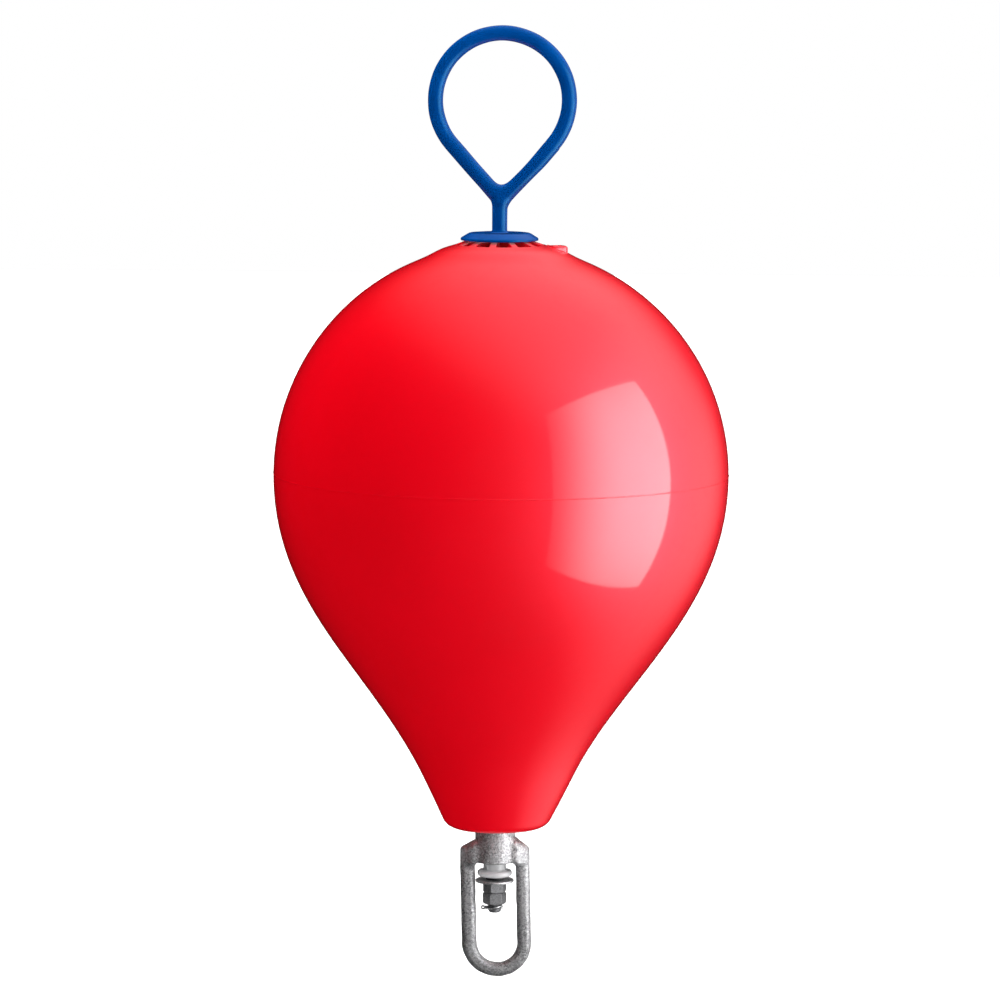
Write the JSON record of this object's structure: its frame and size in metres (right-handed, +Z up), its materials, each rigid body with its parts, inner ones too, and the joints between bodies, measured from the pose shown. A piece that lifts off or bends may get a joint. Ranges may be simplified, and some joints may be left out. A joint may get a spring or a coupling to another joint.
{
  "type": "mooring buoy",
  "caption": "Teardrop air-filled vinyl float on a steel through rod, with a coated lifting eye on top and a forged bow below that turns on a plastic bushing.",
  "frame": {"origin": "on the float's axis, in the plane of its parting line at its widest circle, which is the waterline of the working buoy", "axes": "+Z up along the axis, towards the lifting eye; the eye and the bow at rest lie in the XZ plane, and the inflation valve is towards +X"},
  "size_m": [0.5208, 0.5206, 1.0951],
  "materials": {
    "red_vinyl": "glossy soft vinyl, moulded in one colour",
    "blue_coating": "glossy dipped vinyl coating on steel bar",
    "galvanised_forging": "hot-dip galvanised, mottled grey",
    "galvanised_steel": "hot-dip galvanised, dull grey",
    "white_nylon": "natural white nylon, satin",
    "black_rubber": "matt black rubber"
  },
  "bodies": {
    "buoy": {"buoy_float": "red_vinyl", "valve_plug": "white_nylon", "lifting_eye": "blue_coating", "eye_flange": "blue_coating", "centre_rod": "galvanised_steel", "base_washer": "galvanised_steel", "swivel_bushing": "white_nylon", "rubber_washer": "black_rubber", "steel_washer": "galvanised_steel", "upper_nut": "galvanised_steel", "lower_nut": "galvanised_steel", "cotter_pin": "galvanised_steel"},
    "swivel": {"swivel_bow": "galvanised_forging"}
  },
  "joints": [
    {"name": "swivel_turn", "type": "hinge", "parent": "buoy", "child": "swivel", "pos_m": [0, 0, -0.4311], "axis": [0, 0, 1], "continuous": true}
  ]
}
